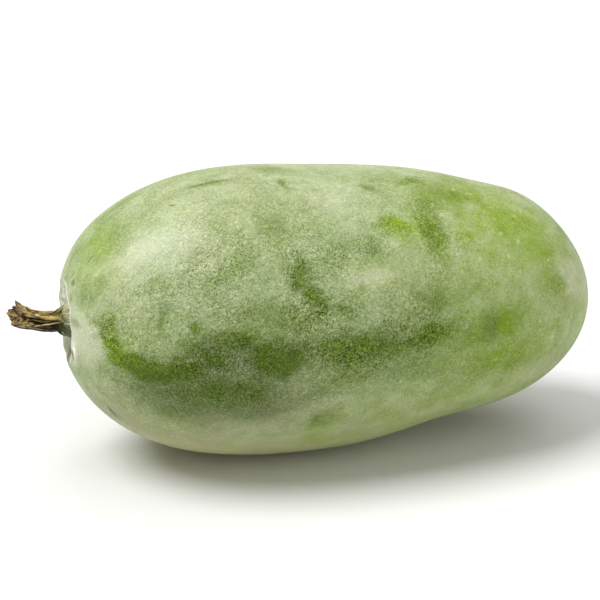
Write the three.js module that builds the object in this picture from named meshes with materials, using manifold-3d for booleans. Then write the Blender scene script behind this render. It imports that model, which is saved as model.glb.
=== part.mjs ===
// Ash gourd, as picked: it lies on its side on a small flat spot, with its dried stem still on.
// Millimetres, +Z up. +X runs from the stem end to the blossom end, and the origin is on the
// table, under the middle of the whole part.
import * as THREE from "three";
import { mergeVertices } from "three/addons/utils/BufferGeometryUtils.js";
import Module from "manifold-3d";

const wasm = await Module();
wasm.setup();

// The fruit is turned about X, with its widest ring at x = 0.
const fruit = {
  girth: 96.1, // radius of the widest ring
  toStemEnd: 154.5, // from the widest ring to each end
  toBlossomEnd: 209,
  stemEndFullness: 2.64, // powers of the outline: the higher, the blunter the end
  blossomEndFullness: 2.18,
  ringFullness: 2.23,
  width: 1.02, // the fruit is this much wider than high
  fall: 0.026, // slope of the middle line, down towards the blossom end
};

// Swellings and hollows of the grown fruit. around is in degrees, with 0 towards +Y and 90 up;
// length and turn are how far each one spreads along X and round the fruit.
const swellings = [
  { name: "hollow under the blossom half", x: 95, around: -105, height: -7.7, length: 50, turn: 60 },
  { name: "full belly under the stem half", x: -90, around: -95, height: 1, length: 50, turn: 50 },
  { name: "saddle on the top", x: 30, around: 95, height: -2, length: 45, turn: 50 },
  { name: "full blossom shoulder", x: 175, around: 72, height: 9.8, length: 30, turn: 45 },
  { name: "flat brow above the stem", x: -120, around: 110, height: -3.9, length: 35, turn: 40 },
];

// At the stem end the skin sinks into a puckered dish, and a short neck stands up in it.
const dish = { depth: 8, floorRadius: 13, rimRadius: 28 };
const creases = { count: 10, depth: 0.7, reach: 50 }; // faint radial folds across the dish's rim
const neck = { height: 6.3, topRadius: 7.5, footRadius: 14 };

// The flower left a small scar at the other end: a dimple with a button in it.
const scar = { depth: 3, radius: 13, buttonHeight: 1.4, buttonRadius: 4.5 };

// How much of the underside lies flat on the table.
const flatSpotDepth = 2;

// The stem is a dry, ribbed stub. It rises towards its tip and ends in a slanting tear.
const stem = {
  length: 31.5,
  radius: 5.9,
  baseFlare: 1.2, // extra radius where it sits on the neck
  baseFlareLength: 4,
  tipSwell: 0.8, // extra radius at the tip
  ribs: 5,
  ribHeight: 0.75,
  fineRibs: 12,
  fineRibHeight: 0.28,
  twist: 0.35, // radians from base to tip
  rise: 8.5,
  riseFullness: 2.2,
  tearStart: 19, // the tear changes the stem from here on
  tearSlant: 6, // how much shorter the near side is than the far side
  tearDepth: 2.5, // the middle of the torn end is sunk
};
const furrow = { around: 196, depth: 2, turn: 13 }; // deep split along the near side
const horn = { around: 100, flare: 5, turn: 20, reach: 1 }; // splinter that stands off the top
const raggedWaves = [
  { count: 3, height: 0.9, start: 0.7 },
  { count: 7, height: 0.7, start: 2.1 },
  { count: 12, height: 0.5, start: 0.4 },
];

// The stem's root stands in a plain hole in the neck, clear of it all round.
const root = { radius: 4.5, length: 7 };
const clearance = 0.3;

// Mesh steps.
const fruitSteps = { around: 70, stemEnd: 14, body: 32, blossomEnd: 6 };
const stemEndRings = { reach: 40, crowding: 1.3 }; // rings crowd towards the neck and the scar
const blossomEndRings = { reach: 17, crowding: 1.3 };
const stemSteps = { around: 40, along: 22, tornEnd: 4 };
const socketSides = 32;

const smooth = THREE.MathUtils.smoothstep;
const bell = (distance, width) => Math.exp(-((distance / width) ** 2));
const turnFrom = (angle, degrees) => {
  const turn = angle - THREE.MathUtils.degToRad(degrees);
  return THREE.MathUtils.radToDeg(Math.atan2(Math.sin(turn), Math.cos(turn)));
};

// One closed surface: seam and pole points are merged, and triangles with no area left out.
function closedSurface(geometry) {
  geometry.deleteAttribute("normal");
  geometry.deleteAttribute("uv");
  const merged = mergeVertices(geometry, 1e-4);
  const corners = merged.index.array;
  const kept = [];
  for (let i = 0; i < corners.length; i += 3) {
    const [a, b, c] = [corners[i], corners[i + 1], corners[i + 2]];
    if (a !== b && b !== c && c !== a) kept.push(a, b, c);
  }
  merged.setIndex(kept);
  return merged;
}

function solidFrom(geometry) {
  const surface = closedSurface(geometry);
  return new wasm.Manifold(
    new wasm.Mesh({
      numProp: 3,
      vertProperties: new Float32Array(surface.attributes.position.array),
      triVerts: new Uint32Array(surface.index.array),
    })
  );
}

function geometryFrom(solid) {
  const mesh = solid.getMesh();
  const geometry = new THREE.BufferGeometry();
  geometry.setAttribute("position", new THREE.BufferAttribute(mesh.vertProperties, 3));
  geometry.setIndex(new THREE.BufferAttribute(mesh.triVerts, 1));
  geometry.computeVertexNormals();
  return geometry;
}

// Turns a profile of (radius, x) points about X, then moves each point by its own rule.
function turned(profile, around, place) {
  const geometry = new THREE.LatheGeometry(profile, around);
  geometry.rotateZ(-Math.PI / 2);
  const points = geometry.attributes.position;
  const at = new THREE.Vector3();
  for (let i = 0; i < points.count; i += 1) {
    at.fromBufferAttribute(points, i);
    place(at, Math.hypot(at.y, at.z), Math.atan2(at.z, at.y));
    points.setXYZ(i, at.x, at.y, at.z);
  }
  return geometry;
}

// The plain outline, before the dish, the neck, the scar and the swellings.
const outlineRadius = (share) => {
  const fullness = share < 0 ? fruit.stemEndFullness : fruit.blossomEndFullness;
  return fruit.girth * Math.max(0, 1 - Math.abs(share) ** fullness) ** (1 / fruit.ringFullness);
};
const outlineShare = (radius, fullness) =>
  (1 - (radius / fruit.girth) ** fruit.ringFullness) ** (1 / fullness);
const outlineX = (share) => share * (share < 0 ? fruit.toStemEnd : fruit.toBlossomEnd);

function fruitProfile() {
  const shares = [];
  for (let i = 0; i <= fruitSteps.stemEnd; i += 1) {
    const radius = stemEndRings.reach * (i / fruitSteps.stemEnd) ** stemEndRings.crowding;
    shares.push(-outlineShare(radius, fruit.stemEndFullness));
  }
  const first = Math.acos(-shares.at(-1));
  const last = Math.acos(-outlineShare(blossomEndRings.reach, fruit.blossomEndFullness));
  for (let i = 1; i < fruitSteps.body; i += 1) {
    shares.push(-Math.cos(THREE.MathUtils.lerp(first, last, i / fruitSteps.body)));
  }
  for (let i = fruitSteps.blossomEnd; i >= 0; i -= 1) {
    const radius = blossomEndRings.reach * (i / fruitSteps.blossomEnd) ** blossomEndRings.crowding;
    shares.push(outlineShare(radius, fruit.blossomEndFullness));
  }
  return shares.map((share) => new THREE.Vector2(outlineRadius(share), outlineX(share)));
}

// How far the stem end is pushed in along X at a radius and an angle.
function stemEndSink(radius, angle) {
  const inDish = 1 - smooth(radius, dish.floorRadius, dish.rimRadius);
  const inNeck = 1 - smooth(radius, neck.topRadius, neck.footRadius);
  const onCreases =
    smooth(radius, neck.topRadius, dish.floorRadius) * (1 - smooth(radius, dish.rimRadius, creases.reach));
  const fold = creases.depth * onCreases * (0.5 + 0.5 * Math.cos(creases.count * angle));
  return dish.depth * inDish - neck.height * inNeck + fold;
}

function blossomEndSink(radius) {
  const inScar = 1 - smooth(radius, 0, scar.radius);
  const onButton = 1 - smooth(radius, 0, scar.buttonRadius);
  return scar.depth * inScar - scar.buttonHeight * onButton;
}

function placeOnFruit(at, radius, angle) {
  const share = at.x / (at.x < 0 ? fruit.toStemEnd : fruit.toBlossomEnd);
  const away = Math.sqrt(Math.max(0, 1 - share * share)); // nothing swells at the two ends
  at.x += at.x < 0 ? stemEndSink(radius, angle) : -blossomEndSink(radius);
  let grown = radius;
  for (const swelling of swellings) {
    grown +=
      away *
      swelling.height *
      bell(at.x - swelling.x, swelling.length) *
      bell(turnFrom(angle, swelling.around), swelling.turn);
  }
  at.y = grown * Math.cos(angle) * fruit.width;
  at.z = grown * Math.sin(angle) - fruit.fall * at.x;
}

// Where the middle of the neck's top is.
const neckTop = new THREE.Vector3(-fruit.toStemEnd, 0, 0);
placeOnFruit(neckTop, 0, 0);

function stemSocket() {
  const depth = root.length + clearance;
  const socket = new THREE.CylinderGeometry(
    root.radius + clearance,
    root.radius + clearance,
    2 * depth,
    socketSides
  );
  socket.rotateZ(Math.PI / 2);
  socket.translate(neckTop.x, neckTop.y, neckTop.z);
  return solidFrom(socket);
}

function fruitSolid() {
  const skin = turned(fruitProfile(), fruitSteps.around, placeOnFruit);
  skin.computeBoundingBox();
  const size = skin.boundingBox.getSize(new THREE.Vector3());
  const table = skin.boundingBox.min.z + flatSpotDepth;
  const underTable = new THREE.BoxGeometry(2 * size.x, 2 * size.y, size.z);
  underTable.translate(0, 0, table - size.z / 2);
  const solid = solidFrom(skin).subtract(stemSocket()).subtract(solidFrom(underTable));
  return { solid, table };
}

const stemRadius = (along) =>
  stem.radius +
  stem.baseFlare * Math.exp(-along / stem.baseFlareLength) +
  stem.tipSwell * smooth(along, stem.tearStart, stem.length);

function stemProfile() {
  const profile = [
    new THREE.Vector2(0, -root.length),
    new THREE.Vector2(root.radius, -root.length),
    new THREE.Vector2(root.radius, clearance),
  ];
  for (let i = 0; i <= stemSteps.along; i += 1) {
    const along = THREE.MathUtils.lerp(clearance, stem.length, i / stemSteps.along);
    profile.push(new THREE.Vector2(stemRadius(along), along));
  }
  for (let i = stemSteps.tornEnd - 1; i >= 0; i -= 1) {
    profile.push(new THREE.Vector2((stemRadius(stem.length) * i) / stemSteps.tornEnd, stem.length));
  }
  return profile;
}

// The stem is turned with its length along +X, then ribbed, torn at its end and bent upwards.
function placeOnStem(at, radius, angle) {
  if (at.x < 0) return; // the root stays plain
  const outer = radius / stemRadius(at.x);
  const onRibs = smooth(at.x, clearance, stem.baseFlareLength) * outer;
  const turnedBy = (stem.twist * at.x) / stem.length;
  let grown = radius;
  grown += onRibs * stem.ribHeight * Math.cos(stem.ribs * (angle + turnedBy));
  grown += onRibs * stem.fineRibHeight * Math.cos(stem.fineRibs * (angle + turnedBy));
  grown -= onRibs * furrow.depth * bell(turnFrom(angle, furrow.around), furrow.turn);
  const onHorn = bell(turnFrom(angle, horn.around), horn.turn);
  grown += outer * horn.flare * onHorn * smooth(at.x, stem.tearStart, stem.length) ** 2;

  const near = 0.5 - 0.5 * Math.cos(angle);
  let end = stem.length - stem.tearSlant * near * outer - 0.5 * stem.tearSlant * (1 - outer);
  end += horn.reach * onHorn * outer - stem.tearDepth * (1 - outer);
  for (const wave of raggedWaves) {
    end += outer * wave.height * Math.cos(wave.count * angle + wave.start);
  }
  if (at.x > stem.tearStart) {
    at.x = THREE.MathUtils.mapLinear(at.x, stem.tearStart, stem.length, stem.tearStart, end);
  }
  const share = at.x / stem.length;
  const slope = Math.atan((stem.rise * stem.riseFullness * share ** (stem.riseFullness - 1)) / stem.length);
  const up = grown * Math.sin(angle);
  at.y = grown * Math.cos(angle);
  at.z = stem.rise * share ** stem.riseFullness + up * Math.cos(slope);
  at.x -= up * Math.sin(slope);
}

function stemSolid() {
  const skin = turned(stemProfile(), stemSteps.around, placeOnStem);
  skin.scale(-1, 1, 1);
  skin.index.array.reverse();
  skin.translate(neckTop.x, neckTop.y, neckTop.z);
  return solidFrom(skin);
}

function named(name, solid, look) {
  const mesh = new THREE.Mesh(geometryFrom(solid), new THREE.MeshStandardMaterial(look));
  mesh.name = name;
  return mesh;
}

const waxyRind = { color: 0x92aa68, roughness: 0.7, metalness: 0 };
const dryStem = { color: 0x8b7440, roughness: 0.9, metalness: 0 };

const body = fruitSolid();
const gourd = new THREE.Group();
gourd.add(named("gourd_fruit", body.solid, waxyRind));
gourd.add(named("gourd_stem", stemSolid(), dryStem));

const extent = new THREE.Box3().setFromObject(gourd);
const middle = extent.getCenter(new THREE.Vector3());
gourd.position.set(-middle.x, -middle.y, -body.table);

export default gourd;
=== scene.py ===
# An ash gourd lying on its side: a waxy fruit with rubbed green patches, and its dry torn stem.
# Metres, in the part's own frame: +X runs from the stem end to the blossom end, +Z is up.
import math
import random

import bpy
from mathutils import Matrix, Vector


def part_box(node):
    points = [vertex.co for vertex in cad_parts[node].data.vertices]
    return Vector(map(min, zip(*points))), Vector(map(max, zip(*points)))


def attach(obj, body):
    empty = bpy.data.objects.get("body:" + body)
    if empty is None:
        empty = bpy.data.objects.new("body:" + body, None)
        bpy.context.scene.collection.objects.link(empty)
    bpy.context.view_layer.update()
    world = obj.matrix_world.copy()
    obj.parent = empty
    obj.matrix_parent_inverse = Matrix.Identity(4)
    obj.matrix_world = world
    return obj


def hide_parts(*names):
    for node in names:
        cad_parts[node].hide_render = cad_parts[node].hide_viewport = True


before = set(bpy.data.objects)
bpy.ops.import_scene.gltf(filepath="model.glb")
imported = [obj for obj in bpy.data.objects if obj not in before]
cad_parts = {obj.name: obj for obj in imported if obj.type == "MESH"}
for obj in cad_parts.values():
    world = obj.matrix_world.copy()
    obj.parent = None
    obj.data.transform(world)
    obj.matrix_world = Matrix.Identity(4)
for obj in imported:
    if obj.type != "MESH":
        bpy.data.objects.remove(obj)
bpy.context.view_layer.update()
print("frame:", ", ".join(sorted(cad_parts)))

millimetre = 0.001
weldDistance = 1e-6  # metres, for points that fall together


def addObject(name, data):
    item = bpy.data.objects.new(name, data)
    bpy.context.scene.collection.objects.link(item)
    return item


# Camera

view = {
    "aim": Vector((-0.005, 0, 0.098)),
    "distance": 1.0,
    "azimuth": -16,  # degrees, turned towards the stem from a look along +Y
    "elevation": 18,
    "lens": 90,  # mm
    "sensorWidth": 36,
}


def backFrom(azimuth, elevation):
    a, e = math.radians(azimuth), math.radians(elevation)
    return Vector((math.sin(a) * math.cos(e), -math.cos(a) * math.cos(e), math.sin(e)))


def addCamera():
    data = bpy.data.cameras.new("camera")
    data.lens = view["lens"]
    data.sensor_width = view["sensorWidth"]
    camera = addObject("camera", data)
    back = backFrom(view["azimuth"], view["elevation"])
    camera.location = view["aim"] + back * view["distance"]
    camera.rotation_euler = back.to_track_quat("Z", "Y").to_euler()
    bpy.context.scene.camera = camera


addCamera()
print("camera set")


# Node maths: a wire is one socket, and arithmetic on wires adds the nodes that work it out

class Wire:
    tree = None  # the tree being drawn

    def __init__(self, socket):
        self.socket = socket

    # A new node with its settings, and with a value or a wire for each of its sockets. Besides a node's
    # own settings, stops fills a colour ramp and choices is how many items an index switch has.
    @classmethod
    def put(cls, kind, settings=None, sockets=None, out=0):
        node = cls.tree.nodes.new(kind)
        for name, value in (settings or {}).items():
            if name == "stops":
                cls.setStops(node.color_ramp, value)
            elif name == "choices":
                for _ in range(value - len(node.index_switch_items)):
                    node.index_switch_items.new()
            else:
                setattr(node, name, value)
        for name, value in (sockets or {}).items():
            for one in value if isinstance(value, list) else [value]:
                if isinstance(one, Wire):
                    cls.tree.links.new(one.socket, node.inputs[name])
                else:
                    node.inputs[name].default_value = one
        return cls(node.outputs[out])

    @staticmethod
    def setStops(ramp, stops):
        while len(ramp.elements) < len(stops):
            ramp.elements.new(1)
        for element, (position, color) in zip(ramp.elements, stops):
            element.position, element.color = position, color

    def math(self, operation, other=0.0, third=0.0):
        return Wire.put("ShaderNodeMath", {"operation": operation}, {0: self, 1: other, 2: third})

    def __add__(self, other):
        return self.math("ADD", other)

    def __sub__(self, other):
        return self.math("SUBTRACT", other)

    def __rsub__(self, other):
        return Wire.put("ShaderNodeMath", {"operation": "SUBTRACT"}, {0: other, 1: self})

    def __mul__(self, other):
        return self.math("MULTIPLY", other)

    def __truediv__(self, other):
        return self.math("DIVIDE", other)

    def __rtruediv__(self, other):
        return Wire.put("ShaderNodeMath", {"operation": "DIVIDE"}, {0: other, 1: self})

    def __pow__(self, other):
        return self.math("POWER", other)

    def __neg__(self):
        return self * -1

    __radd__ = __add__
    __rmul__ = __mul__

    def part(self, name):  # another output of the same node
        return Wire(self.socket.node.outputs[name])

    def smooth(self, low, high, first=0.0, last=1.0):
        sockets = {"Value": self, "From Min": low, "From Max": high, "To Min": first, "To Max": last}
        return Wire.put("ShaderNodeMapRange", {"interpolation_type": "SMOOTHSTEP"}, sockets)

    def bell(self, width):
        scaled = self / width
        return (-(scaled * scaled)).math("EXPONENT")

    def atLeast(self, least):
        return self.math("MAXIMUM", least)

    def clamp(self):
        return Wire.put("ShaderNodeClamp", {}, {"Value": self})

    def turnFrom(self, degrees):  # an angle's distance from another, the shorter way round
        return (self - math.radians(degrees)).math("WRAP", math.pi, -math.pi)

    def vector(self, operation, other=(0, 0, 0), scale=1.0):
        sockets = {0: self, "Scale": scale} if operation == "SCALE" else {0: self, 1: other}
        out = "Value" if operation == "LENGTH" else "Vector"
        return Wire.put("ShaderNodeVectorMath", {"operation": operation}, sockets, out)


def joinXyz(x, y, z):
    return Wire.put("ShaderNodeCombineXYZ", {}, {"X": x, "Y": y, "Z": z})


def splitXyz(place):
    x = Wire.put("ShaderNodeSeparateXYZ", {}, {0: place})
    return x, x.part("Y"), x.part("Z")


def between(first, last, share):
    return first + share * (last - first)


def noiseAt(place, scale, detail=2.0, roughness=0.5, out="Fac", distortion=0.0):
    sockets = {"Vector": place, "Scale": scale, "Detail": detail, "Roughness": roughness}
    return Wire.put("ShaderNodeTexNoise", {}, {**sockets, "Distortion": distortion}, out)


def driftAt(place, scale, reach):  # a small sideways wander, to break up an edge
    drift = noiseAt(place, scale, 3, 0.55, "Color").vector("SUBTRACT", (0.5, 0.5, 0.5))
    return drift.vector("SCALE", scale=reach)


def blend(share, first, second):  # of two colours
    settings = {"data_type": "RGBA", "clamp_factor": True}
    return Wire.put("ShaderNodeMix", settings, {0: share, 6: first, 7: second}, 2)


def mark(geometry, name, value):  # keeps a value on the mesh, for the material
    settings = {"data_type": "FLOAT", "domain": "POINT"}
    sockets = {"Geometry": geometry, "Name": name, "Value": value}
    return Wire.put("GeometryNodeStoreNamedAttribute", settings, sockets)


def marked(name):
    return Wire.put("ShaderNodeAttribute", {"attribute_name": name}, out="Fac")


def paint(hexCode):  # "#rrggbb" as seen on a screen, to the linear colour that shaders use
    parts = [int(hexCode[i : i + 2], 16) / 255 for i in (1, 3, 5)]
    linear = [p / 12.92 if p <= 0.04045 else ((p + 0.055) / 1.055) ** 2.4 for p in parts]
    return (*linear, 1.0)


def newMaterial(name):
    material = bpy.data.materials.new(name)
    material.use_nodes = True
    material.node_tree.nodes.clear()
    Wire.tree = material.node_tree
    return material


def endMaterial(sockets):
    shader = Wire.put("ShaderNodeBsdfPrincipled", {}, sockets)
    output = Wire.tree.nodes.new("ShaderNodeOutputMaterial")
    Wire.tree.links.new(shader.socket, output.inputs["Surface"])


def bumpFrom(relief, look):
    sockets = {"Strength": look["bump"], "Distance": look["bumpDepth"], "Height": relief}
    return Wire.put("ShaderNodeBump", {}, sockets)


def newTree(name, inputs, output):  # both name socket kinds, such as Float or Vector
    tree = bpy.data.node_groups.new(name, "GeometryNodeTree")
    Wire.tree = tree
    for key, kind in inputs.items():
        tree.interface.new_socket(key, in_out="INPUT", socket_type="NodeSocket" + kind)
    tree.interface.new_socket(output, in_out="OUTPUT", socket_type="NodeSocket" + output)
    return tree, Wire.put("NodeGroupInput")


def startTree(name, sizes, counts):
    kinds = {**{key: "Int" for key in counts}, **{key: "Float" for key in sizes}, "Material": "Material"}
    return newTree(name, kinds, "Geometry")


def endTree(result):
    output = Wire.tree.nodes.new("NodeGroupOutput")
    Wire.tree.links.new(result.socket, output.inputs[0])


def endShape(geometry, material):
    solid = Wire.put("GeometryNodeRealizeInstances", {}, {"Geometry": geometry})
    endTree(Wire.put("GeometryNodeSetMaterial", {}, {"Geometry": solid, "Material": material}))


def rolledGrid(around, along):  # a flat grid, with its turn in radians and its step from end to end
    sockets = {"Size X": 1, "Size Y": 1, "Vertices X": around, "Vertices Y": along}
    grid = Wire.put("GeometryNodeMeshGrid", {}, sockets)
    across, up, _ = splitXyz(Wire.put("GeometryNodeInputPosition"))
    return grid, (across + 0.5) * (2 * math.pi), up + 0.5


def movedTo(geometry, place):
    return Wire.put("GeometryNodeSetPosition", {}, {"Geometry": geometry, "Position": place})


def closeUp(grid, place):  # moves the grid onto its shape and closes its seam and its poles
    sockets = {"Geometry": movedTo(grid, place), "Distance": weldDistance}
    closed = Wire.put("GeometryNodeMergeByDistance", {}, sockets)
    return Wire.put("GeometryNodeSetShadeSmooth", {}, {"Geometry": closed})


def growFromTree(name, tree, values):  # keeps what the tree makes as a plain mesh
    holder = addObject(name + "Holder", bpy.data.meshes.new(name + "Holder"))
    modifier = holder.modifiers.new(name, "NODES")
    modifier.node_group = tree
    for item in tree.interface.items_tree:
        if item.in_out == "INPUT":
            modifier[item.identifier] = values[item.name]
    grown = holder.evaluated_get(bpy.context.evaluated_depsgraph_get())
    mesh = bpy.data.meshes.new_from_object(grown)
    holder.modifiers.clear()
    bpy.data.objects.remove(holder)
    mesh.name = name
    return addObject(name, mesh)


# Fruit shape: the skin is a grid rolled up round X by the same rule as the solid

rind = {
    "girth": 0.0961,
    "toStemEnd": 0.1545,
    "toBlossomEnd": 0.209,
    "stemEndFullness": 2.64,
    "blossomEndFullness": 2.18,
    "ringFullness": 2.23,
    "width": 1.02,
    "fall": 0.026,
    "middleHeight": 0.094,  # of the middle line at the widest ring, over the table
    "dishDepth": 0.008,
    "dishFloor": 0.013,
    "dishRim": 0.028,
    "creaseDepth": 0.0007,
    "creaseReach": 0.05,
    "neckHeight": 0.0063,
    "neckTop": 0.0075,
    "neckFoot": 0.014,
    "scarDepth": 0.003,
    "scarRadius": 0.013,
    "buttonHeight": 0.0014,
    "buttonRadius": 0.0045,
    "unevenness": 0.0009,
    "ringCrowding": 1.2,  # rings lie closer at the stem end
}
rindSteps = {"Around": 360, "Along": 256}
creaseCount = 10
unevenCells = 22  # noise cells in each metre
poleMargin = 0.0001  # share of the rows at each end that lies on the middle line
swellings = [  # place along X from the widest ring, degrees round from +Y, height, and spread
    {"x": 0.095, "around": -105, "height": -0.0077, "length": 0.05, "turn": 60},
    {"x": -0.09, "around": -95, "height": 0.001, "length": 0.05, "turn": 50},
    {"x": 0.03, "around": 95, "height": -0.002, "length": 0.045, "turn": 50},
    {"x": 0.175, "around": 72, "height": 0.0098, "length": 0.03, "turn": 45},
    {"x": -0.12, "around": 110, "height": -0.0039, "length": 0.035, "turn": 40},
]
stemRootLength = 0.007  # of the solid stem, inside the neck
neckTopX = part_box("gourd_stem")[1].x - stemRootLength
widestX = neckTopX + rind["toStemEnd"] - rind["dishDepth"] + rind["neckHeight"]
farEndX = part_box("gourd_fruit")[1].x


def middleHeightAt(x):
    return rind["middleHeight"] - rind["fall"] * (x - widestX)


# Marks on the skin: x in mm along the part, up in degrees from the side that faces -Y, half length
# and half width in mm, lean in degrees from X, and strength.
rubbedSpots = {
    "hookTop": (-144, 15, 22, 8, -84, 0.8),
    "hookSide": (-141, 3, 22, 11, -75, 1.2),
    "hookBend": (-134, -4, 20, 14, -50, 1.3),
    "hookFoot": (-122, -8, 26, 17, -20, 1.3),
    "bandNear": (-102, -6, 26, 16, 5, 0.95),
    "bandMiddle": (-86, 1, 26, 18, 0, 0.85),
    "bandGrey": (-74, 7, 34, 15, 0, 0.85),
    "bandFar": (-48, 0, 42, 23, 0, 0.95),
    "bandAbove": (-52, 14, 42, 22, 0, 0.45),
    # partly painted shade: these darken the band under the middle, where the core shadow falls
    "underBand": (-80, -15, 74, 32, 0, 0.75),
    "underBandLow": (-100, -26, 46, 24, 0, 0.5),
    "farBand": (6, 2, 60, 22, 0, 1.0),
    "farBandDark": (50, 4, 32, 18, 0, 0.95),
    "farBandLow": (8, -8, 84, 22, 0, 0.5),
    "backBand": (10, 176, 110, 20, 3, 0.6),
    "backShoulder": (104, 132, 34, 22, 20, 0.55),
    "backShoulderLow": (140, 158, 22, 18, 10, 0.6),
    "backTop": (-70, 118, 40, 18, -10, 0.45),
    "spotOne": (-26, 30, 12, 18, 10, 0.8),
    "spotTwo": (-2, 17, 14, 12, -30, 0.52),
    "spotThree": (-20, 20, 12, 20, 0, 0.85),
    "spotFour": (-5, 35, 14, 14, 20, 0.2),
    "streak": (62, 45, 36, 11, 104, 0.85),
    "streakTop": (66, 62, 24, 18, 80, 0.55),
    "shoulderOne": (88, 66, 30, 16, -5, 0.6),
    "shoulderTwo": (118, 55, 22, 28, -25, 0.6),
    "shoulderThree": (144, 40, 18, 22, -20, 0.55),
    "shoulderBright": (130, 54, 26, 13, -20, 0.45),
    "shoulderFour": (100, 50, 14, 12, 0, 0.4),
    "nearOlive": (41, 47, 20, 18, 0, 0.75),
    "topSpeck": (60, 75, 18, 8, 10, 0.6),
    "topFleck": (30, 71, 8, 4, 20, 0.6),
    "sideBlotch": (56, 19, 24, 13, 0, 0.55),
    "farSpot": (108, 5, 26, 24, 0, 0.85),
    "farSpotNear": (97, 6, 18, 20, 0, 0.75),
    "farSpotLow": (92, 4, 22, 16, 0, 0.6),
    "underSpot": (104, -10, 44, 24, 6, 0.65),
    "endSpot": (150, 21, 18, 13, 0, 0.6),
    "endStrip": (168, 52, 10, 34, 0, 0.2),
    "bellyStreak": (-14, -33, 22, 20, 25, 0.55),
    "bellyStreakLow": (-20, -47, 26, 20, 25, 0.5),
    "bellyBlotch": (-2, -68, 20, 16, 0, 0.8),
    "topLeft": (-136, 66, 18, 34, 10, 0.35),
    "topLeftLow": (-149, 40, 7, 34, 0, 0.4),
    "topLine": (-72, 78, 26, 7, -5, 0.5),
    "topMiddle": (-28, 86, 20, 14, 0, 0.5),
    "leftMottle": (-84, 28, 18, 15, 30, 0.32),
    "leftMottleTwo": (-64, 37, 20, 13, 30, 0.35),
    "leftMottleThree": (-43, 53, 15, 22, 10, 0.45),
    "leftMottleFour": (-112, 31, 16, 9, 20, 0.3),
    "leftDash": (-91, 12, 11, 5, 80, 0.7),
    "leftDashTwo": (-112, 16, 14, 6, 75, 0.6),
    "topFleckTwo": (-20, 72, 7, 6, 30, 0.6),
    "middleMottle": (20, 40, 14, 10, 20, 0.4),
}
thinnedZones = {  # broad places where the bloom lies thinner
    "shoulder": (105, 58, 100, 80, 0, 0.95),
    "centre": (5, 12, 90, 80, 0, 0.42),
    "farBand": (25, 2, 80, 26, 0, 0.72),
    "upperLeft": (-52, 42, 50, 60, 0, 0.3),
    "band": (-80, 0, 85, 30, 2, 0.8),
    # partly painted shade: thinner bloom in the band under the middle, where the core shadow falls
    "underBand": (-86, -17, 84, 52, 0, 1.0),
    "rightSide": (98, -5, 98, 85, 0, 0.95),
    "rightBelly": (60, -45, 125, 80, 0, 0.55),
    "left": (-100, 16, 42, 26, 0, 0.5),
    "topBand": (-82, 72, 42, 14, 0, 0.15),
    "topLeft": (-138, 75, 34, 70, 0, 0.6),
    "back": (20, 178, 140, 90, 0, 0.8),
}
paleGreens = {  # where the green under the bloom is lighter and yellower
    "shoulder": (115, 50, 95, 95, 0, 0.9),
    "nearOlive": (42, 47, 24, 22, 0, 0.85),
    "whitePatch": (17, 27.5, 30, 16, 0, 0.6),
    "rightSide": (125, 5, 95, 80, 0, 0.7),
    "rightBelly": (80, -50, 120, 70, 0, 1.0),
    "bellyStreak": (-16, -40, 34, 36, 25, 0.7),
    "end": (174, 15, 24, 110, 0, 0.9),
    "backShoulder": (118, 140, 76, 60, 0, 0.8),
    "backStemEnd": (-135, 130, 30, 50, 0, 0.6),
    "topLeft": (-140, 62, 28, 60, 0, 0.7),
    "hook": (-139, 4, 30, 14, -75, 0.5),
    "hookFoot": (-126, -8, 18, 10, -25, 0.3),
}
deepGreens = {  # and where it is darker
    "band": (-66, 1, 66, 24, 2, 0.9),
    # partly painted shade: darker green in the band under the middle, where the core shadow falls
    "underBand": (-78, -17, 86, 42, 0, 1.0),
    "spotOne": (-26, 30, 14, 20, 10, 0.15),
    "farBand": (25, 3, 84, 24, 0, 0.15),
    "farSpot": (97, 6, 18, 22, 0, 0.5),
    "streak": (66, 46, 36, 12, 96, 0.35),
    "shoulderOne": (84, 66, 30, 26, 0, 0.3),
    "backBand": (0, 178, 110, 26, 2, 0.7),
}
waxSpots = {  # where the bloom is thick, white and smooth; some spots also stand in for painted highlight, sheen and bounce light
    "whitePatch": (17, 27.5, 25, 9, 0, 1.0),
    "whiteHeart": (24, 28, 12, 6, 0, 1.25),
    "smoothPale": (50, 64, 20, 14, 0, 0.4),
    "smallWhite": (100, -5, 8, 7, 0, 0.8),
    # painted highlight: the soft highlight high on the left is laid in as thick pale bloom, with more
    # wax coat there
    "highlightLeft": (-110, 50, 40, 30, 12, 1.0),
    "wipe": (-75, 64, 46, 14, 20, 0.2),
    "topPale": (5, 68, 44, 28, -5, 0.5),
    # partly painted sheen: the pale band along the top edge
    "topEdge": (30, 94, 150, 32, 0, 0.6),
    "middleSmooth": (-50, 54, 34, 20, 30, 0.35),
    "topRight": (72, 82, 30, 12, 0, 0.65),
    "paleFleck": (78, 52, 10, 6, 60, 0.7),
    "hazeOne": (96, 40, 30, 16, 10, 0.35),
    "hazeTwo": (50, 60, 18, 12, 0, 0.4),
    # partly painted sheen: the paler rim round the right end
    "endPale": (176, 32, 32, 78, 0, 0.6),
    "stemSide": (-156, 6, 16, 66, 0, 1.7),
    # partly painted bounce light: the lower left belly is made paler, as if lit from the floor
    "leftBelly": (-96, -64, 100, 34, 0, 0.6),
}
coarseZones = {  # where the skin's fine grain stands out
    "leftMiddle": (-88, 32, 50, 50, 0, 0.9),
    "centre": (-15, 27, 50, 50, 0, 1.0),
    "hook": (-140, 6, 18, 28, 0, 0.7),
    "band": (-75, 4, 60, 24, 0, 0.4),
    "farBand": (20, 3, 70, 30, 0, 0.8),
    "streak": (67, 46, 40, 22, 96, 0.9),
    "nearOlive": (38, 46, 26, 24, 0, 0.8),
    "back": (0, 178, 120, 70, 0, 0.7),
}
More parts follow.
